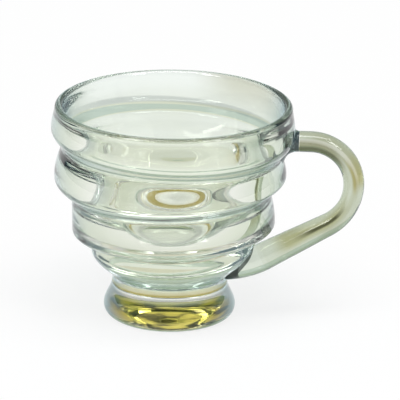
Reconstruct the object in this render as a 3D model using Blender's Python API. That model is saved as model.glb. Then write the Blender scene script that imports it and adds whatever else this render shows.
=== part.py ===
# Glass mug: a bowl of four stacked rounded rings, a solid flared foot and a bent rod handle.
import math
from collections import namedtuple

import bmesh
import bpy
from mathutils import Matrix, Vector

# Lengths are in metres and angles in degrees; +X is the handle's side and +Z is up.
GAP = 0.0003
SEGMENTS = 48
RING_STEPS = 5

HEIGHT = 0.0810
RIM_RADIUS = 0.0436
LIP_RADIUS = 0.0016
RIM_SWAY = 0.0008

# A ring swells to its belly and closes to the groove under it; the last one closes to the waist.
Ring = namedtuple("Ring", "belly_radius belly_height groove_radius groove_height lean sway")
RINGS = (
    Ring(0.0448, 0.0711, 0.0406, 0.0639, 1.8, 0.0007),
    Ring(0.0428, 0.0538, 0.0368, 0.0471, -2.0, -0.0002),
    Ring(0.0376, 0.0344, 0.0301, 0.0299, -2.5, 0.0012),
    Ring(0.0301, 0.0263, 0.0214, 0.0149, 0.0, 0.0008),
)
RING_FULLNESS = 0.76

# The inner side is one smooth bowl, flat in the middle of its floor, so the wall is thick behind each belly.
FLOOR_HEIGHT = 0.0255
INNER_ROUNDNESS = 5.2
INNER_STEPS = 24

FOOT_RADIUS = 0.0246
FOOT_BELLY_HEIGHT = 0.0031
FOOT_FULLNESS = 1.42
REST_RADIUS = 0.0222
RECESS_RADIUS = 0.0142
RECESS_DEPTH = 0.0022

# The rod runs out level, turns down through two bends and comes back on a slope, growing thicker.
ROD_RADIUS = 0.00386
ROD_END_RADIUS = 0.0053
ROD_TOP = 0.0681
ROD_START = 0.0470
BEND_START = 0.0513
UPPER_BEND = 0.0161
LOWER_BEND = 0.0184
LOWER_SLOPE = 29.8
LOWER_RUN = 0.0272

COLLAR_REACH = 0.0050
COLLAR_GROWTH = 0.0035
COLLAR_DROP = 0.0019
WEDGE_LENGTH = 0.0124
WEDGE_SLOPE = 17.0

HANDLE_REACH = BEND_START + UPPER_BEND + ROD_RADIUS
BOWL_REACH = RINGS[0].belly_radius - RINGS[0].sway
AXIS_X = (BOWL_REACH - HANDLE_REACH) / 2
WAIST = Vector((RINGS[-1].groove_radius, RINGS[-1].groove_height))
LIP_CENTRE = Vector((RIM_RADIUS - LIP_RADIUS, HEIGHT - LIP_RADIUS))


def clear_scene():
    for item in list(bpy.data.objects):
        bpy.data.objects.remove(item, do_unlink=True)


def glass(name, colour, roughness):
    material = bpy.data.materials.new(name)
    material.use_nodes = True
    shader = material.node_tree.nodes["Principled BSDF"]
    shader.inputs["Base Color"].default_value = (*colour, 1.0)
    shader.inputs["Roughness"].default_value = roughness
    shader.inputs["Metallic"].default_value = 0.0
    shader.inputs["IOR"].default_value = 1.5
    shader.inputs["Transmission Weight"].default_value = 0.9
    return material


def bowl_glass():
    return glass("bowl_glass", (0.68, 0.73, 0.60), 0.03)


def foot_glass():
    return glass("foot_glass", (0.55, 0.53, 0.36), 0.03)


def rod_glass():
    return glass("rod_glass", (0.62, 0.63, 0.50), 0.04)


def collar_glass():
    return glass("collar_glass", (0.58, 0.61, 0.49), 0.05)


def wedge_glass():
    return glass("wedge_glass", (0.56, 0.57, 0.43), 0.05)


# Eased value at a height, between knots of (height, value) listed from the top down.
def eased(knots, height):
    for (top, above), (bottom, below) in zip(knots, knots[1:]):
        if height >= bottom:
            share = min(1.0, max(0.0, (top - height) / (top - bottom)))
            return above + (below - above) * (1 - math.cos(math.pi * share)) / 2
    return knots[-1][1]


# The grooves are worked by hand: each leans a little along X and each belly sits a little off the axis.
def settle(bm):
    leans = [(HEIGHT, 0.0)] + [(ring.groove_height, ring.lean) for ring in RINGS]
    sways = [(HEIGHT, RIM_SWAY)] + [(ring.belly_height, ring.sway) for ring in RINGS] + [(WAIST.y, 0.0)]
    for vert in bm.verts:
        height = vert.co.z
        vert.co.z -= vert.co.x * math.tan(math.radians(eased(leans, height)))
        vert.co.x += eased(sways, height)


# Points from a narrow station to a wide one, as (radius, height).
def swell(narrow, wide, fullness):
    points = []
    for step in range(RING_STEPS + 1):
        rise = step / RING_STEPS
        share = (1 - math.cos(math.pi * rise ** fullness)) / 2
        points.append(Vector((narrow.x + (wide.x - narrow.x) * share, narrow.y + (wide.y - narrow.y) * rise)))
    return points


def arc(centre, reach, start, end, steps):
    points = []
    for step in range(steps + 1):
        angle = math.radians(start + (end - start) * step / steps)
        points.append(Vector((centre.x + reach[0] * math.cos(angle), centre.y + reach[1] * math.sin(angle))))
    return points


# The outside of the bowl, from the lip down through the rings to the waist.
def outer_wall(offset):
    narrow = Vector((RIM_RADIUS + offset, LIP_CENTRE.y))
    points = [narrow]
    for ring in RINGS:
        belly = Vector((ring.belly_radius + offset, ring.belly_height))
        groove = Vector((ring.groove_radius + offset, ring.groove_height))
        points += swell(narrow, belly, RING_FULLNESS)[1:]
        points += swell(groove, belly, RING_FULLNESS)[-2::-1]
        narrow = groove
    return points


# The inside of the bowl, from the middle of its floor up to the lip.
def inner_wall():
    mouth = RIM_RADIUS - 2 * LIP_RADIUS
    points = []
    for step in range(INNER_STEPS + 1):
        reach = math.sin(math.radians(90 * step / INNER_STEPS))
        height = FLOOR_HEIGHT + (LIP_CENTRE.y - FLOOR_HEIGHT) * reach ** INNER_ROUNDNESS
        points.append(Vector((mouth * reach, height)))
    return points


def foot_side(offset):
    foot = Vector((FOOT_RADIUS + offset, FOOT_BELLY_HEIGHT))
    flare = swell(Vector((WAIST.x + offset, WAIST.y - GAP)), foot, FOOT_FULLNESS)
    edge = arc(Vector((REST_RADIUS + offset, FOOT_BELLY_HEIGHT)),
               (FOOT_RADIUS - REST_RADIUS, FOOT_BELLY_HEIGHT), 0, -90, 5)
    return flare + edge[1:]


# An outline of (radius, height) points turned round the mug's axis into a closed solid.
def lathe(outline):
    bm = bmesh.new()
    verts = [bm.verts.new((point.x, 0.0, point.y)) for point in outline]
    edges = [bm.edges.new(pair) for pair in zip(verts, verts[1:])]
    bmesh.ops.spin(bm, geom=verts + edges, cent=(0, 0, 0), axis=(0, 0, 1),
                   angle=2 * math.pi, steps=SEGMENTS, use_merge=True)
    bmesh.ops.remove_doubles(bm, verts=bm.verts, dist=0.00001)
    bmesh.ops.recalc_face_normals(bm, faces=bm.faces)
    return bm


# Round sections of (centre, slope, radius) in the handle's plane, joined into a closed solid.
def loft(sections):
    bm = bmesh.new()
    loops = []
    for index, (centre, slope, radius) in enumerate(sections):
        place = Matrix.Translation((centre.x, 0.0, centre.y)) @ Matrix.Rotation(math.radians(-90 - slope), 4, "Y")
        capped = index in (0, len(sections) - 1)
        ring = bmesh.ops.create_circle(bm, cap_ends=capped, segments=SEGMENTS // 2, radius=radius, matrix=place)
        loops.append({edge for vert in ring["verts"] for edge in vert.link_edges})
    for near, far in zip(loops, loops[1:]):
        bmesh.ops.bridge_loops(bm, edges=list(near | far))
    bmesh.ops.recalc_face_normals(bm, faces=bm.faces)
    return bm


def place_solid(name, bm, material, root):
    mesh = bpy.data.meshes.new(name)
    bm.to_mesh(mesh)
    bm.free()
    mesh.shade_smooth()
    mesh.set_sharp_from_angle(angle=math.radians(40))
    return place_object(name, mesh, material, root)


def place_object(name, data, material, root):
    item = bpy.data.objects.new(name, data)
    bpy.context.scene.collection.objects.link(item)
    item.parent = root
    if material:
        data.materials.append(material)
    return item


def make_root():
    root = bpy.data.objects.new("mug", None)
    bpy.context.scene.collection.objects.link(root)
    root.location.x = AXIS_X
    return root


def make_bowl(root):
    lip = arc(LIP_CENTRE, (LIP_RADIUS, LIP_RADIUS), 180, 0, 6)
    bm = lathe(inner_wall()[:-1] + lip + outer_wall(0.0)[1:] + [Vector((0.0, WAIST.y))])
    settle(bm)
    return place_solid("bowl", bm, bowl_glass(), root)


# The foot is solid, with a shallow dome hollowed into its underside inside the flat rest ring.
def make_foot(root):
    dome = []
    for step in range(5):
        reach = 1 - step / 4
        dome.append(Vector((RECESS_RADIUS * reach, RECESS_DEPTH * (1 - reach ** 2))))
    bm = lathe([Vector((0.0, WAIST.y - GAP))] + foot_side(0.0) + dome)
    return place_solid("foot", bm, foot_glass(), root)


# The rod's centre line as (x, z) points from the collar to the wedge.
def rod_path():
    start = Vector((ROD_START + GAP, ROD_TOP))
    upper = arc(Vector((BEND_START, ROD_TOP - UPPER_BEND)), (UPPER_BEND, UPPER_BEND), 90, 0, 18)
    pivot = Vector((BEND_START + UPPER_BEND - LOWER_BEND, ROD_TOP - UPPER_BEND))
    lower = arc(pivot, (LOWER_BEND, LOWER_BEND), 0, LOWER_SLOPE - 90, 12)
    slope = math.radians(LOWER_SLOPE)
    run = [lower[-1] - Vector((math.cos(slope), math.sin(slope))) * LOWER_RUN * step / 6 for step in range(1, 7)]
    return [start] + upper + lower[1:] + run


def rod_radius(share):
    return ROD_RADIUS + (ROD_END_RADIUS - ROD_RADIUS) * max(0.0, 2 * share - 1)


def make_handle(root):
    path = rod_path()
    walked = [0.0]
    for near, far in zip(path, path[1:]):
        walked.append(walked[-1] + (far - near).length)
    curve = bpy.data.curves.new("handle", "CURVE")
    curve.dimensions = "3D"
    curve.bevel_depth = ROD_RADIUS
    curve.bevel_resolution = 6
    curve.use_fill_caps = True
    spline = curve.splines.new("POLY")
    spline.points.add(len(path) - 1)
    spline.use_smooth = True
    for point, centre, length in zip(spline.points, path, walked):
        point.co = (centre.x, 0.0, centre.y, 1.0)
        point.radius = rod_radius(length / walked[-1]) / ROD_RADIUS
    return place_object("handle", curve, rod_glass(), root)


# The outside of bowl and foot, grown by the gap, which fits the handle's pads to the mug.
def make_pad_cutter(root):
    outline = [Vector((0.0, HEIGHT + GAP)), Vector((LIP_CENTRE.x, HEIGHT + GAP))]
    outline += outer_wall(GAP) + foot_side(GAP) + [Vector((0.0, 0.0))]
    bm = lathe(outline)
    settle(bm)
    cutter = place_solid("pad_cutter", bm, None, root)
    cutter.hide_render = True
    cutter.display_type = "WIRE"
    return cutter


def cut_to_mug(pad, cutter):
    cut = pad.modifiers.new("fit_to_mug", "BOOLEAN")
    cut.operation = "DIFFERENCE"
    cut.solver = "EXACT"
    cut.object = cutter


# A short collar that flares from the rod to the top ring, further down than up.
def make_upper_pad(root, cutter):
    sections = []
    for step in range(6):
        share = (step / 5) ** 2
        centre = Vector((ROD_START - COLLAR_REACH * step / 5, ROD_TOP - COLLAR_DROP * share))
        sections.append((centre, 0.0, ROD_RADIUS + COLLAR_GROWTH * share))
    back = sections[-1]
    sections.append((back[0] - Vector((COLLAR_REACH, 0.0)), 0.0, back[2]))
    pad = place_solid("upper_handle_pad", loft(sections), collar_glass(), root)
    cut_to_mug(pad, cutter)
    return pad


# A wedge that carries on from the rod's end and levels out as it meets the lower rings and the waist.
def make_lower_pad(root, cutter):
    path = rod_path()
    along = (path[-1] - path[-2]).normalized()
    centre = path[-1] + along * GAP
    sections = [(centre, LOWER_SLOPE, ROD_END_RADIUS)]
    for step in range(1, 5):
        slope = LOWER_SLOPE + (WEDGE_SLOPE - LOWER_SLOPE) * step / 4
        turn = math.radians(slope)
        centre = centre - Vector((math.cos(turn), math.sin(turn))) * WEDGE_LENGTH / 4
        sections.append((centre, slope, ROD_END_RADIUS))
    pad = place_solid("lower_handle_pad", loft(sections), wedge_glass(), root)
    cut_to_mug(pad, cutter)
    return pad


def main():
    clear_scene()
    root = make_root()
    make_bowl(root)
    make_foot(root)
    make_handle(root)
    cutter = make_pad_cutter(root)
    make_upper_pad(root, cutter)
    make_lower_pad(root, cutter)


main()
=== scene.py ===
import math

import bmesh
import bpy
from mathutils import Matrix, Vector
from mathutils.bvhtree import BVHTree


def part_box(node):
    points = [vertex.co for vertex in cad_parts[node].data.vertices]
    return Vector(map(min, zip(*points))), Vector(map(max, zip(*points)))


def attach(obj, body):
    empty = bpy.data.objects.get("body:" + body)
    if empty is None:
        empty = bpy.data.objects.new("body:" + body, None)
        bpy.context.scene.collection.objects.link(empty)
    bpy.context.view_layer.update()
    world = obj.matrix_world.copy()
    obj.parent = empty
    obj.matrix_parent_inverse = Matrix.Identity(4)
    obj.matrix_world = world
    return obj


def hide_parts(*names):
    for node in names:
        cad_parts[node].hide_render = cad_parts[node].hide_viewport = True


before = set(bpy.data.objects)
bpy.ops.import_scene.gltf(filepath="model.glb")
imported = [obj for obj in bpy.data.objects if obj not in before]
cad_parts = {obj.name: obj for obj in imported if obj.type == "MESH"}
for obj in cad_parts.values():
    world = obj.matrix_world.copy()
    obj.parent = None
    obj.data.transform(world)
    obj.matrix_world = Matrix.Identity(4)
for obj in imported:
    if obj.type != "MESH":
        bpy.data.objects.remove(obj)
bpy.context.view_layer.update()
scene = bpy.context.scene
mm = 0.001
footLow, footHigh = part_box("foot")
axisX = (footLow[0] + footHigh[0]) / 2 / mm     # the mug's axis; the origin is under the middle of the whole


# one socket of a shader tree; arithmetic on it adds Math nodes
class Wire:
    def __init__(self, tree, socket=None):
        self.tree = tree
        self.socket = socket

    # any node: its type, its settings (set first), the values or links of its sockets
    def node(self, kind, settings=None, sockets=None, out=0):
        node = self.tree.nodes.new("ShaderNode" + kind)
        for name, value in (settings or {}).items():
            setattr(node, name, value)
        for name, value in (sockets or {}).items():
            socket = node.inputs[name]
            if isinstance(value, Wire):
                self.tree.links.new(value.socket, socket)
            elif socket.type == "RGBA":
                socket.default_value = (*value, 1.0)
            else:
                socket.default_value = value
        return Wire(self.tree, node.outputs[out]) if node.outputs else None

    def calc(self, operation, a, b=0.0):
        return self.node("Math", {"operation": operation}, {0: a, 1: b})

    def __add__(self, other):
        return self.calc("ADD", self, other)

    def __radd__(self, other):
        return self.calc("ADD", other, self)

    def __sub__(self, other):
        return self.calc("SUBTRACT", self, other)

    def __rsub__(self, other):
        return self.calc("SUBTRACT", other, self)

    def __mul__(self, other):
        return self.calc("MULTIPLY", self, other)

    def __rmul__(self, other):
        return self.calc("MULTIPLY", other, self)

    def __pow__(self, other):
        return self.calc("POWER", self, other)

    def __abs__(self):
        return self.calc("ABSOLUTE", self)


def mixColour(share, first, second):
    return share.node("Mix", {"data_type": "RGBA"}, {0: share, 6: first, 7: second}, 2)


# 0 below the span, 1 above it, eased between
def fade(value, span):
    return value.node("MapRange", {"interpolation_type": "SMOOTHSTEP"},
                      {0: value, 1: span[0], 2: span[1]})


def within(value, rise, fall):
    return fade(value, rise) * (1 - fade(value, fall))


def noiseAt(place, scale, detail):
    return place.node("TexNoise", None, {"Vector": place, "Scale": scale, "Detail": detail})


def stretch(place, factors):
    return place.node("VectorMath", {"operation": "MULTIPLY"}, {0: place, 1: factors})


def axesOf(vector, names):
    return [vector.node("SeparateXYZ", None, {0: vector}, name) for name in names]


# millimetres from the mug's axis and from the ground
def inMm(place):
    x, y, z = (axis * (1 / mm) for axis in axesOf(place, "XYZ"))
    return x - axisX, y, z


def fromAxis(x, y):
    return (x * x + y * y) ** 0.5


def newMaterial(name):
    material = bpy.data.materials.new(name)
    material.use_nodes = True
    material.node_tree.nodes.clear()
    return material, Wire(material.node_tree)


def objectPlace(start):
    return start.node("TexCoord", None, None, "Object")


# what every piece of glass shares: a slate tint where it is seen edge on, faint waves, clear body
glassBody = {
    "edge": (0.26, 0.38, 0.45), "edgeFrom": (0.30, 0.95), "edgeBlend": 0.5,
    "waveScale": 55.0, "waveDetail": 1.0, "waveStrength": 0.25, "waveDepth": 0.4,
    "cloudScale": 30.0, "cloudDetail": 2.0, "roughSpread": 0.01, "ior": 1.5,
}


def glassFinish(start, colour, cloud, where, s):
    facing = start.node("LayerWeight", None, {"Blend": s["edgeBlend"]}, "Facing")
    colour = mixColour(fade(facing, s["edgeFrom"]), colour, s["edge"])
    wave = noiseAt(where, s["waveScale"], s["waveDetail"])
    bump = start.node("Bump", None, {
        "Strength": s["waveStrength"], "Distance": s["waveDepth"] * mm, "Height": wave})
    body = start.node("BsdfPrincipled", None, {
        "Base Color": colour, "Roughness": cloud * s["roughSpread"], "Normal": bump,
        "IOR": s["ior"], "Transmission Weight": 1.0})
    start.node("OutputMaterial", None, {"Surface": body})


# glass with faint clouds between two tints
def cloudGlass(name, s):
    material, start = newMaterial(name)
    where = objectPlace(start)
    cloud = noiseAt(where, s["cloudScale"], s["cloudDetail"])
    glassFinish(start, mixColour(cloud, s["pale"], s["deep"]), cloud, where, s)
    return material


# the seam where two pieces are melted together: light goes straight through
def seamGlass():
    material, start = newMaterial("fusedSeam")
    clear = start.node("BsdfTransparent", None, {"Color": (1, 1, 1)})
    start.node("OutputMaterial", None, {"Surface": clear})
    return material


fusedSeam = seamGlass()


def easeShare(u):
    return (1 - math.cos(math.pi * u)) / 2


# points that swell from a narrow place to a wide one
def swell(narrow, wide, fullness, steps):
    points = []
    for i in range(steps + 1):
        u = i / steps
        share = easeShare(u ** fullness)
        points.append((narrow[0] + (wide[0] - narrow[0]) * share,
                       narrow[1] + (wide[1] - narrow[1]) * u))
    return points


def arc(centre, reach, start, end, steps):
    turn = [math.radians(start + (end - start) * i / steps) for i in range(steps + 1)]
    return [(centre[0] + reach[0] * math.cos(a), centre[1] + reach[1] * math.sin(a)) for a in turn]


# how meshes are closed and shaded: weld distance in mm, sharp angle in degrees
meshLook = {"weld": 0.0005, "sharp": 35}


# an outline of (radius, height) spun round the mug's axis
def spinLine(line, segments):
    bm = bmesh.new()
    verts = [bm.verts.new((r, 0.0, z)) for r, z in line]
    edges = [bm.edges.new(pair) for pair in zip(verts, verts[1:])]
    bmesh.ops.spin(bm, geom=verts + edges, cent=(0, 0, 0), axis=(0, 0, 1),
                   angle=2 * math.pi, steps=segments, use_merge=True)
    bmesh.ops.remove_doubles(bm, verts=bm.verts, dist=meshLook["weld"])
    bmesh.ops.recalc_face_normals(bm, faces=bm.faces)
    return bm


# the level seam between bowl and foot: its rows, and how its faces are told from the others
seamShape = {"steps": 6, "level": 0.999, "near": 0.02}


# radii of the seam's rows, from the middle outwards, without the last
def seamRadii(radius):
    return [radius * i / seamShape["steps"] for i in range(seamShape["steps"])]


# faces of the melted seam take the second material
def markSeam(bm, height):
    s = seamShape
    for f in bm.faces:
        if abs(f.normal.z) > s["level"] and abs(f.calc_center_median().z - height) < s["near"]:
            f.material_index = 1


# millimetres round the mug's axis become metres in the part's frame
def finishPiece(name, bm, materials, node):
    bmesh.ops.translate(bm, verts=bm.verts, vec=(axisX, 0, 0))
    bmesh.ops.scale(bm, verts=bm.verts, vec=(mm, mm, mm))
    mesh = bpy.data.meshes.new(name)
    bm.to_mesh(mesh)
    bm.free()
    mesh.shade_smooth()
    mesh.set_sharp_from_angle(angle=math.radians(meshLook["sharp"]))
    for material in materials:
        mesh.materials.append(material)
    piece = bpy.data.objects.new(name, mesh)
    scene.collection.objects.link(piece)
    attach(piece, "root")
    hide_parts(node)
    print(name, len(mesh.polygons), "faces")


# the bowl: four ring bulges outside, smooth inside
bowlShape = {
    "height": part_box("bowl")[1][2] / mm, "rim": 43.6, "lip": 1.6, "rimSway": 0.8,
    # belly radius and height, groove radius and height, lean of the groove, sway of the belly
    "rings": [(44.8, 71.1, 40.6, 63.9, 1.8, 0.7),
              (42.8, 53.8, 36.8, 47.1, -2.0, -0.2),
              (37.6, 34.4, 30.1, 29.9, -2.5, 1.2),
              (30.1, 26.3, 21.4, 14.9, 0.0, 0.8)],
    "fullness": 0.76, "floor": 25.5, "plunger": 5.2,
    "steps": 14, "lipSteps": 36, "innerSteps": 60, "segments": 384,
}
bowlGlass = {
    **glassBody,
    # pairs of cloud tints, and how far back the sides' and the back's set in
    "frontTints": ((1.00, 1.00, 0.97), (0.98, 0.98, 0.91)),
    "sideTints": ((0.74, 0.81, 0.70), (0.71, 0.76, 0.61)),
    "backTints": ((0.83, 0.89, 0.84), (0.81, 0.86, 0.75)),
    "sideFrom": (-40.0, -18.0), "backFrom": (5.0, 30.0),
    # high at the back, warmer towards the handle
    "highTint": (0.90, 0.95, 0.91), "high": (66.0, 80.0),
    "warmTint": (0.66, 0.68, 0.57), "warm": (1.58, 23.58),
    # a painted reflection: the leaning band inside the far wall
    "paintedReflectionBandTint": (0.46, 0.51, 0.48), "paintedReflectionBandRise": (68.526, 69.526), "paintedReflectionBandFall": (70.826, 71.626),
    "paintedReflectionBandLean": 0.057, "paintedReflectionBandReach": (40.6, 41.2),
    # a painted dark reflection along the lip, in front only
    "paintedLipReflectionTint": (0.34, 0.37, 0.28), "lip": (79.9, 80.6), "paintedLipReflectionBack": (0.0, 25.0),
    # the thick bottom, round its outside
    "lowTint": (0.66, 0.71, 0.56), "low": (24.0, 46.0), "lowReach": (22.0, 26.0),
}
waistRadius, waistHeight = bowlShape["rings"][-1][2:4]


# value of a list of (height, value) at a height, eased between its places
def eased(places, height):
    for (top, above), (bottom, below) in zip(places, places[1:]):
        if height >= bottom:
            share = min(1.0, max(0.0, (top - height) / (top - bottom)))
            return above + (below - above) * easeShare(share)
    return places[-1][1]


# each groove leans a little along X, each belly sits a little off the axis
def settle(bm):
    s = bowlShape
    leans = [(s["height"], 0.0)] + [(r[3], r[4]) for r in s["rings"]]
    sways = [(s["height"], s["rimSway"])] + [(r[1], r[5]) for r in s["rings"]] + [(waistHeight, 0.0)]
    for v in bm.verts:
        height = v.co.z
        v.co.z -= v.co.x * math.tan(math.radians(eased(leans, height)))
        v.co.x += eased(sways, height)


def outerLine(top):
    s = bowlShape
    line = [top]
    narrow = top
    for belly, bellyZ, groove, grooveZ, *_ in s["rings"]:
        line += swell(narrow, (belly, bellyZ), s["fullness"], s["steps"])[1:]
        narrow = (groove, grooveZ)
        line += swell(narrow, (belly, bellyZ), s["fullness"], s["steps"])[-2::-1]
    return line


# from the middle of the floor up to the lip, as a plunger leaves it
def innerLine(mouth, top):
    s = bowlShape
    line = []
    for i in range(s["innerSteps"]):
        reach = math.sin(math.pi / 2 * i / s["innerSteps"])
        line.append((mouth * reach, s["floor"] + (top - s["floor"]) * reach ** s["plunger"]))
    return line


# clearest in front, deeper round the sides, the back and the bottom, with a painted reflection band behind
# and a painted dark reflection along the lip
def unevenGlass(name, s):
    material, start = newMaterial(name)
    where = objectPlace(start)
    x, y, z = inMm(where)
    reach = fromAxis(x, y)
    cloud = noiseAt(where, s["cloudScale"], s["cloudDetail"])
    front, side, back = (mixColour(cloud, *s[key]) for key in ("frontTints", "sideTints", "backTints"))
    high = mixColour(fade(x, s["warm"]), s["highTint"], s["warmTint"])
    back = mixColour(fade(z, s["high"]), back, high)
    # the band inside the far wall is a painted reflection, kept to the inside of the glass
    paintedReflectionBand = within(z + x * s["paintedReflectionBandLean"], s["paintedReflectionBandRise"], s["paintedReflectionBandFall"])
    back = mixColour(paintedReflectionBand * (1 - fade(reach, s["paintedReflectionBandReach"])), back, s["paintedReflectionBandTint"])
    colour = mixColour(fade(y, s["sideFrom"]), front, side)
    colour = mixColour(fade(y, s["backFrom"]), colour, back)
    low = (1 - fade(z, s["low"])) * fade(reach, s["lowReach"])
    colour = mixColour(low, colour, s["lowTint"])
    # the dark line along the lip is a painted dark reflection, in front only
    lip = fade(z, s["lip"]) * (1 - fade(y, s["paintedLipReflectionBack"]))
    glassFinish(start, mixColour(lip, colour, s["paintedLipReflectionTint"]), cloud, where, s)
    return material


def bowlMesh():
    s = bowlShape
    top = s["height"] - s["lip"]
    lip = arc((s["rim"] - s["lip"], top), (s["lip"], s["lip"]), 180, 0, s["lipSteps"])
    seam = [(r, waistHeight) for r in reversed(seamRadii(waistRadius))]
    line = innerLine(s["rim"] - 2 * s["lip"], top) + lip + outerLine((s["rim"], top))[1:] + seam
    bm = spinLine(line, s["segments"])
    settle(bm)
    markSeam(bm, waistHeight)
    return bm


# the foot: a flare, a rounded edge, a flat ring and a shallow domed recess
footShape = {
    "belly": 24.6, "bellyHeight": 3.1, "fullness": 1.42,
    "rest": 22.2, "recess": 14.2, "recessDepth": 2.2,
    "steps": 16, "edgeSteps": 12, "domeSteps": 16, "segments": 160,
}
footGlass = {
    **glassBody, "pale": (0.86, 0.90, 0.84), "deep": (0.80, 0.83, 0.73),
    # a darker slate edge than on the other pieces: partly the glass's own tint seen edge on, partly painted
    # shade seen through the foot's sides
    "edge": (0.16, 0.29, 0.31), "edgeFrom": (0.20, 0.72),
    # the amber stain and its dark flecks, which lie level
    "amber": (0.54, 0.39, 0.02), "amberDeep": (0.05, 0.04, 0.006),
    "fleckStretch": (90.0, 90.0, 600.0), "fleck": (0.45, 0.60),
    # where the stain ends, how much lower it ends round the back, and how far out it begins
    "amberTop": (9.0, 12.5), "amberTurn": (-10.0, 4.0), "amberBack": 9.2, "amberReach": (20.5, 22.0),
    "backTint": (0.60, 0.57, 0.28), "gold": (0.24, 0.15, 0.002), "goldTop": (0.8, 2.4),
}


def footMesh():
    s = footShape
    flare = swell((waistRadius, waistHeight), (s["belly"], s["bellyHeight"]), s["fullness"], s["steps"])
    edge = arc((s["rest"], s["bellyHeight"]), (s["belly"] - s["rest"], s["bellyHeight"]),
               0, -90, s["edgeSteps"])
    seam = [(r, waistHeight) for r in seamRadii(waistRadius)]
    dome = []
    for i in range(s["domeSteps"] + 1):
        reach = 1 - i / s["domeSteps"]
        dome.append((s["recess"] * reach, s["recessDepth"] * (1 - reach ** 2)))
    bm = spinLine(seam + flare + edge[1:] + dome, s["segments"])
    markSeam(bm, waistHeight)
    return bm


# clear inside and above, stained amber round its outside, high in front, with a gold edge at the ground
def amberGlass(name, s):
    material, start = newMaterial(name)
    where = objectPlace(start)
    x, y, z = inMm(where)
    cloud = noiseAt(where, s["cloudScale"], s["cloudDetail"])
    fleck = noiseAt(stretch(where, s["fleckStretch"]), 1.0, s["cloudDetail"])
    stain = mixColour(fade(fleck, s["fleck"]), s["amber"], s["amberDeep"])
    turned = fade(y, s["amberTurn"])
    low = 1 - fade(z + turned * s["amberBack"], s["amberTop"])
    out = fade(fromAxis(x, y), s["amberReach"])
    clear = mixColour(turned * out, mixColour(cloud, s["pale"], s["deep"]), s["backTint"])
    colour = mixColour(low * out, clear, stain)
    ground = (1 - fade(z, s["goldTop"])) * out
    glassFinish(start, mixColour(ground, colour, s["gold"]), cloud, where, s)
    return material


# the handle: a disc pulled out, spun through two bends and pulled back on a slope
rodShape = {
    "radius": 3.86, "endRadius": 5.3, "top": 68.1, "start": 47.0, "bendStart": 51.3,
    "upperBend": 16.1, "lowerBend": 18.4, "slope": 29.8, "run": 27.2,
    "sides": 48, "leadSteps": 4, "upperSteps": 40, "lowerSteps": 30, "runSteps": 24,
}
rodGlass = {
    **glassBody, "pale": (0.62, 0.68, 0.56), "deep": (0.44, 0.47, 0.33), "edge": (0.46, 0.54, 0.50),
    "cloudFrom": (0.38, 0.66), "grainStretch": (1.3, 1.3, 3.2), "wander": 0.3, "clearEnd": (0.80, 0.97),
    # painted reflections drawn along the rod, the first a painted highlight: colour, middle across the rod
    # (1 is the outer side), soft half width, rise and fall along the rod
    "paintedReflections": [((1.00, 1.00, 0.98), 0.36, (0.08, 0.26), (-0.2, -0.1), (0.28, 0.42)),
                ((0.18, 0.18, 0.09), -0.42, (0.05, 0.26), (-0.2, -0.1), (0.18, 0.34)),
                ((0.34, 0.30, 0.08), 0.15, (0.05, 0.36), (0.20, 0.31), (0.37, 0.45)),
                ((0.36, 0.36, 0.15), -0.30, (0.15, 0.60), (0.40, 0.62), (0.84, 0.95)),
                ((0.02, 0.02, 0.006), -0.32, (0.06, 0.24), (0.48, 0.58), (0.70, 0.84))],
}


# level way towards the bowl, tipped down by some degrees
def inward(degrees):
    return Vector((-math.cos(math.radians(degrees)), 0, -math.sin(math.radians(degrees))))


# middles of the two bends, and the straight run back to the bowl
upperMiddle = Vector((rodShape["bendStart"], 0, rodShape["top"] - rodShape["upperBend"]))
lowerMiddle = upperMiddle + Vector((rodShape["upperBend"] - rodShape["lowerBend"], 0, 0))
runWay = inward(rodShape["slope"])
runStart = lowerMiddle + Vector((-runWay.z, 0, runWay.x)) * rodShape["lowerBend"]


def pullFace(bm, faces, move):
    grown = bmesh.ops.extrude_face_region(bm, geom=faces)["geom"]
    bmesh.ops.translate(bm, verts=[g for g in grown if isinstance(g, bmesh.types.BMVert)], vec=move)
    bmesh.ops.delete(bm, geom=faces, context="FACES_ONLY")
    return [g for g in grown if isinstance(g, bmesh.types.BMFace)]


def spinFace(bm, faces, centre, degrees, steps):
    edges = list({e for f in faces for e in f.edges})
    verts = list({v for f in faces for v in f.verts})
    turned = bmesh.ops.spin(bm, geom=faces + edges + verts, cent=centre, axis=(0, 1, 0),
                            angle=math.radians(degrees), steps=steps)
    return [g for g in turned["geom_last"] if isinstance(g, bmesh.types.BMFace)]


def rodMesh():
    s = rodShape
    bm = bmesh.new()
    place = Matrix.Translation((s["start"], 0, s["top"])) @ Matrix.Rotation(math.radians(90), 4, "Y")
    bmesh.ops.create_circle(bm, cap_ends=True, segments=s["sides"], radius=s["radius"], matrix=place)
    last = bm.faces[:]
    for i in range(s["leadSteps"]):
        last = pullFace(bm, last, Vector(((s["bendStart"] - s["start"]) / s["leadSteps"], 0, 0)))
    last = spinFace(bm, last, upperMiddle, 90, s["upperSteps"])
    last = spinFace(bm, last, lowerMiddle, 90 - s["slope"], s["lowerSteps"])
    for i in range(s["runSteps"]):
        last = pullFace(bm, last, runWay * s["run"] / s["runSteps"])
    for f in last:
        f.material_index = 1
    thickenRod(bm)
    bmesh.ops.recalc_face_normals(bm, faces=bm.faces)
    return bm


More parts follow.
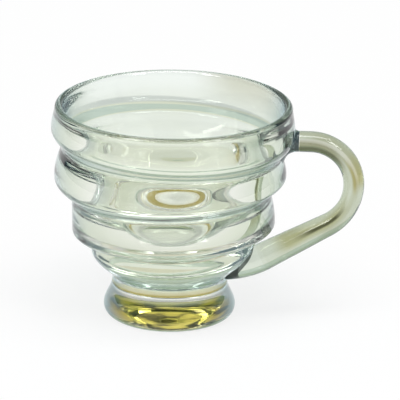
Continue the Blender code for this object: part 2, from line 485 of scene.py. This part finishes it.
# nearest place on the rod's middle line, and how far along it that is, from 0 to 1
def alongRod(x, z):
    s = rodShape
    lead = s["bendStart"] - s["start"]
    upper = math.radians(90) * s["upperBend"]
    lower = math.radians(90 - s["slope"]) * s["lowerBend"]
    total = lead + upper + lower + s["run"]
    walked = (Vector((x, 0, z)) - runStart).dot(runWay)
    if z >= upperMiddle.z and x <= s["bendStart"]:
        return x, s["top"], (x - s["start"]) / total
    if z >= upperMiddle.z:
        a = math.atan2(z - upperMiddle.z, x - upperMiddle.x)
        return (upperMiddle.x + s["upperBend"] * math.cos(a), upperMiddle.z + s["upperBend"] * math.sin(a),
                (lead + (math.pi / 2 - a) * s["upperBend"]) / total)
    if walked <= 0:
        a = math.atan2(z - lowerMiddle.z, x - lowerMiddle.x)
        return (lowerMiddle.x + s["lowerBend"] * math.cos(a), lowerMiddle.z + s["lowerBend"] * math.sin(a),
                (lead + upper - a * s["lowerBend"]) / total)
    spot = runStart + runWay * walked
    return spot.x, spot.z, (lead + upper + lower + walked) / total


# the lower half of the rod grows towards its end; each vertex keeps its place in the rod as "grain"
def thickenRod(bm):
    s = rodShape
    grain = bm.verts.layers.float_vector.new("grain")
    for v in bm.verts:
        x, z, share = alongRod(v.co.x, v.co.z)
        middle = Vector((x, 0, z))
        out = (middle - upperMiddle).normalized().dot(v.co - middle) / s["radius"]
        v[grain] = (out, v.co.y / s["radius"], share)
        radius = s["radius"] + (s["endRadius"] - s["radius"]) * max(0.0, 2 * share - 1)
        v.co = middle + (v.co - middle) * radius / s["radius"]


# clouded sage glass with a pale painted highlight and amber and brown painted reflections drawn out along
# the rod, clear at its wide end
def paintedReflectionGlass(name, s):
    material, start = newMaterial(name)
    grain = start.node("Attribute", {"attribute_name": "grain"}, None, "Vector")
    out, share = axesOf(grain, "XZ")
    noise = noiseAt(stretch(grain, s["grainStretch"]), 1.0, s["cloudDetail"])
    cloud = fade(noise, s["cloudFrom"]) * (1 - fade(share, s["clearEnd"]))
    colour = mixColour(cloud, s["pale"], s["deep"])
    across = out + (noise - 0.5) * s["wander"]
    for tint, middle, width, rise, fall in s["paintedReflections"]:
        # each streak is a painted reflection; the pale one is a painted highlight
        paintedReflection = (1 - fade(abs(across - middle), width)) * within(share, rise, fall)
        colour = mixColour(paintedReflection, colour, tint)
    glassFinish(start, colour, cloud, objectPlace(start), s)
    return material


# first surface of bowl or foot along a line
def meetGlass(trees, start, aim):
    hits = [tree.ray_cast(start, aim)[0] for tree in trees]
    return min((h for h in hits if h), key=lambda h: (h - start).length)


# what both pads share: gap to the glass, rows of the sides and the back, how far off the back is aimed from
padShape = {"seam": 0.05, "loops": 12, "backLoops": 7, "backLift": 6.0}


# along a curve from the disc, bent at the knee, to the glass
def alongSpoke(spoke, u):
    disc, knee, back = spoke
    return disc * (1 - u) ** 2 + knee * 2 * u * (1 - u) + back * u ** 2


# an open edge loop grown by one row; each new vertex follows the spoke of its old one
def growLoop(bm, edges, spokes, place, slot):
    grown = bmesh.ops.extrude_edge_only(bm, edges=edges)["geom"]
    fresh = {g for g in grown if isinstance(g, bmesh.types.BMVert)}
    for v in fresh:
        old = next(e.other_vert(v) for e in v.link_edges if e.other_vert(v) not in fresh)
        spokes[v] = spokes[old]
        v.co = place(spokes[v])
    for f in grown:
        if isinstance(f, bmesh.types.BMFace):
            f.material_index = slot
    return [g for g in grown if isinstance(g, bmesh.types.BMEdge)]


# a pad: a disc at the rod, sides that curve out to the glass, a back fitted to its surface
def padMesh(trees, centre, way, aim, radius, shift, s):
    def onGlass(start):
        return meetGlass(trees, start, aim) - aim * s["seam"]

    bm = bmesh.new()
    turn = way.to_track_quat("Z", "Y").to_matrix().to_4x4()
    bmesh.ops.create_circle(bm, cap_ends=True, segments=rodShape["sides"], radius=radius,
                            matrix=Matrix.Translation(centre) @ turn)
    for f in bm.faces:
        f.material_index = s["frontSlot"]
    spokes = {}
    for v in bm.verts:
        back = onGlass(v.co + (v.co - centre).normalized() * s["growth"] + shift)
        knee = v.co + way * (back - v.co).dot(way) * s["knee"]
        spokes[v] = (v.co.copy(), knee, back)
    middle = sum((spoke[2] for spoke in spokes.values()), Vector()) / len(spokes)
    edges = bm.edges[:]
    for i in range(1, s["loops"] + 1):
        slot = s["lineSlot"] if i > s["loops"] - s["lineLoops"] else 0
        edges = growLoop(bm, edges, spokes, lambda spoke: alongSpoke(spoke, i / s["loops"]), slot)
    for i in range(1, s["backLoops"]):
        out = 1 - i / s["backLoops"]
        edges = growLoop(bm, edges, spokes, lambda spoke: onGlass(
            middle.lerp(spoke[2], out) - aim * s["backLift"]), s["backSlot"])
    bmesh.ops.edgeloop_fill(bm, edges=edges, mat_nr=s["backSlot"])
    bmesh.ops.recalc_face_normals(bm, faces=bm.faces)
    return bm


# the collar that joins the rod to the top ring
collarShape = {
    **padShape, "growth": 2.6, "drop": 1.9, "knee": 0.85,
    "frontSlot": 0, "backSlot": 1, "lineSlot": 1, "lineLoops": 1,
}
# the collar's glass is nearly black: a painted dark reflection of the room
collarDarkReflectionGlass = {
    **glassBody, "pale": (0.08, 0.12, 0.135), "deep": (0.04, 0.055, 0.05), "cloudScale": 200.0,
}
collarJoint = {
    **glassBody, "pale": (0.16, 0.21, 0.22), "deep": (0.11, 0.14, 0.13), "cloudScale": 200.0,
}


def collarMesh(trees):
    s, r = collarShape, rodShape
    level = Vector((-1, 0, 0))
    centre = Vector((r["start"] - s["seam"], 0, r["top"]))
    return padMesh(trees, centre, level, level, r["radius"], Vector((0, 0, -s["drop"])), s)


# the wedge that joins the rod's wide end to the lower rings
wedgeShape = {
    **padShape, "growth": 0.0, "slope": 17.0, "knee": 0.5,
    "frontSlot": 1, "backSlot": 2, "lineSlot": 3, "lineLoops": 3,
}
wedgeGlass = {
    **glassBody, "pale": (0.70, 0.76, 0.66), "deep": (0.69, 0.75, 0.65), "cloudScale": 60.0,
    "edge": (0.46, 0.54, 0.50),
}
wedgeJoint = {
    **glassBody, "pale": (0.26, 0.30, 0.26), "deep": (0.18, 0.21, 0.17), "cloudScale": 60.0,
}
jointLine = {
    **glassBody, "pale": (0.025, 0.035, 0.03), "deep": (0.015, 0.02, 0.015), "cloudScale": 60.0,
}


def wedgeMesh(trees):
    s, r = wedgeShape, rodShape
    centre = runStart + runWay * r["run"]
    return padMesh(trees, centre, runWay, inward(s["slope"]), r["endRadius"], Vector(), s)


bowlBm = bowlMesh()
footBm = footMesh()
trees = [BVHTree.FromBMesh(bowlBm), BVHTree.FromBMesh(footBm)]
collarBm = collarMesh(trees)
wedgeBm = wedgeMesh(trees)
finishPiece("glassBowl", bowlBm, [unevenGlass("bowlGlass", bowlGlass), fusedSeam], "bowl")
finishPiece("glassFoot", footBm, [amberGlass("footGlass", footGlass), fusedSeam], "foot")
finishPiece("glassHandle", rodMesh(), [paintedReflectionGlass("rodGlass", rodGlass), fusedSeam], "handle")
finishPiece("upperPad", collarBm,
            [cloudGlass("collarDarkReflectionGlass", collarDarkReflectionGlass), cloudGlass("collarJoint", collarJoint)],
            "upper_handle_pad")
finishPiece("lowerPad", wedgeBm,
            [cloudGlass("wedgeGlass", wedgeGlass), fusedSeam, cloudGlass("wedgeJoint", wedgeJoint),
             cloudGlass("jointLine", jointLine)], "lower_handle_pad")


# white paper round the mug, with the room's colours further out; lengths in metres
floorLook = {
    "paper": (0.9, 0.9, 0.9), "white": (1.0, 1.0, 1.0), "size": 8.0,
    # the share that takes the mug's shadow: far off, near the mug, and more where the foot stands
    "mattFar": 0.02, "mattNear": 0.20, "nearReach": (0.03, 0.11),
    "mattUnder": 0.52, "underRise": (0.012, 0.0155), "underFall": (0.0165, 0.021),
    # where the white ends, and the room beyond it: its two sides and the part behind the mug
    "edge": (0.85, 1.20), "left": (0.08, 0.11, 0.13), "right": (0.08, 0.09, 0.08), "sideTurn": (-0.2, 0.2),
    "behind": (0.90, 0.90, 0.80), "behindSpread": 0.70, "behindFrom": (-0.05, 0.10),
}


def lightPathMask(start):
    camera, glossy, through = (start.node("LightPath", None, None, name)
                               for name in ("Is Camera Ray", "Is Glossy Ray", "Is Transmission Ray"))
    return start.calc("MAXIMUM", start.calc("MAXIMUM", camera, glossy), through)


def buildFloor():
    s = floorLook
    bm = bmesh.new()
    bmesh.ops.create_grid(bm, x_segments=1, y_segments=1, size=s["size"] / 2)
    mesh = bpy.data.meshes.new("floor")
    bm.to_mesh(mesh)
    bm.free()
    floor = bpy.data.objects.new("floor", mesh)
    scene.collection.objects.link(floor)
    material, start = newMaterial("floorPaper")
    x, y = axesOf(objectPlace(start), "XY")
    reach = fromAxis(x - axisX * mm, y)
    side = mixColour(fade(x, s["sideTurn"]), s["left"], s["right"])
    room = mixColour(fade(y - reach * s["behindSpread"], s["behindFrom"]), side, s["behind"])
    colour = mixColour(fade(reach, s["edge"]), s["white"], room)
    matt = start.node("BsdfDiffuse", None, {"Color": s["paper"]})
    glow = start.node("Emission", None, {"Color": colour, "Strength": 1.0})
    mattShare = s["mattNear"] + fade(reach, s["nearReach"]) * (s["mattFar"] - s["mattNear"])
    mattShare = mattShare + within(reach, s["underRise"], s["underFall"]) * s["mattUnder"]
    mixed = start.node("MixShader", None, {0: lightPathMask(start) * (1 - mattShare), 1: matt, 2: glow})
    start.node("OutputMaterial", None, {"Surface": mixed})
    mesh.materials.append(material)
    print("floor ready")


# a pale sweep behind the mug, a dim room elsewhere; heights are sines of the angle above the ground
worldLook = {
    "sweep": (0.68, 0.76, 0.72), "sweepHigh": (0.48, 0.58, 0.46), "side": (0.12, 0.19, 0.24),
    "front": (0.06, 0.09, 0.11), "ceiling": (0.08, 0.09, 0.08),
    "sweepSide": (0.50, 0.75),      # how far round from behind the mug the sweep reaches
    "sweepRise": (0.15, 0.32),      # where its low part turns into its high part
    "sweepTop": (0.50, 0.70),
    "frontSide": (0.30, 0.70),      # how far round from the front the darkest part of the room reaches
    "ceilingFrom": (0.78, 0.90),
}


def buildWorld():
    s = worldLook
    world = bpy.data.worlds.new("studio")
    scene.world = world
    world.use_nodes = True
    world.node_tree.nodes.clear()
    start = Wire(world.node_tree)
    y, z = axesOf(start.node("TexCoord", None, None, "Generated"), "YZ")
    room = mixColour(fade(y * -1, s["frontSide"]), s["side"], s["front"])
    room = mixColour(fade(z, s["ceilingFrom"]), room, s["ceiling"])
    sweep = mixColour(fade(z, s["sweepRise"]), s["sweep"], s["sweepHigh"])
    colour = mixColour(fade(y, s["sweepSide"]) * (1 - fade(z, s["sweepTop"])), room, sweep)
    back = start.node("Background", None, {"Color": colour, "Strength": 1.0})
    start.node("OutputWorld", None, {"Surface": back})
    print("world ready")


# name, place, size in metres, power in watts; all look at the middle of the mug
lampLook = [
    ("leftWindow", (-0.55, -0.65, 0.80), (0.35, 0.50), 5.0),
    ("rightWindow", (0.62, -0.60, 0.85), (0.30, 0.40), 4.0),
    ("overheadStrip", (0.05, -0.20, 0.95), (1.0, 0.25), 5.0),
]
lampAim = Vector((0, 0, 0.04))


def buildLamps():
    for name, spot, size, power in lampLook:
        data = bpy.data.lights.new(name, "AREA")
        data.shape = "RECTANGLE"
        data.size, data.size_y = size
        data.energy = power
        lamp = bpy.data.objects.new(name, data)
        scene.collection.objects.link(lamp)
        lamp.location = spot
        lamp.rotation_euler = (lampAim - lamp.location).to_track_quat("-Z", "Y").to_euler()
    print("lamps ready")


# the photograph's view; focal length in pixels of its 400, lengths in mm, angles in degrees
cameraLook = {
    "focal": 2704.77, "elevation": 19.48, "roll": 0.89, "azimuth": 4.0,
    "target": (10.88, 0.0, 43.57), "distance": 1000.0, "clipStart": 10.0,
    "imageWidth": 400, "sensor": 36.0,
}


def buildCamera():
    s = cameraLook
    tip, roll = math.radians(s["elevation"]), math.radians(s["roll"])
    back = Vector((0, -math.cos(tip), math.sin(tip)))
    up = Vector((0, math.sin(tip), math.cos(tip)))
    right = Vector((1, 0, 0))
    rolledRight = right * math.cos(roll) + up * math.sin(roll)
    rolledUp = up * math.cos(roll) - right * math.sin(roll)
    place = Matrix((rolledRight, rolledUp, back)).transposed().to_4x4()
    place.translation = (Vector(s["target"]) + back * s["distance"]) * mm
    data = bpy.data.cameras.new("camera")
    data.sensor_width = s["sensor"]
    data.lens = s["sensor"] * s["focal"] / s["imageWidth"]
    data.clip_start = s["clipStart"] * mm
    camera = bpy.data.objects.new("camera", data)
    scene.collection.objects.link(camera)
    turn = Matrix.Rotation(math.radians(s["azimuth"]), 4, "Z")
    camera.matrix_world = Matrix.Translation((axisX * mm, 0, 0)) @ turn @ place
    scene.camera = camera
    print("camera ready")


buildFloor()
buildWorld()
buildLamps()
buildCamera()
scene.view_settings.view_transform = "Standard"
scene.cycles.max_bounces = 24               # glass behind glass needs many
scene.cycles.transmission_bounces = 24
scene.cycles.glossy_bounces = 10
scene.cycles.transparent_max_bounces = 24
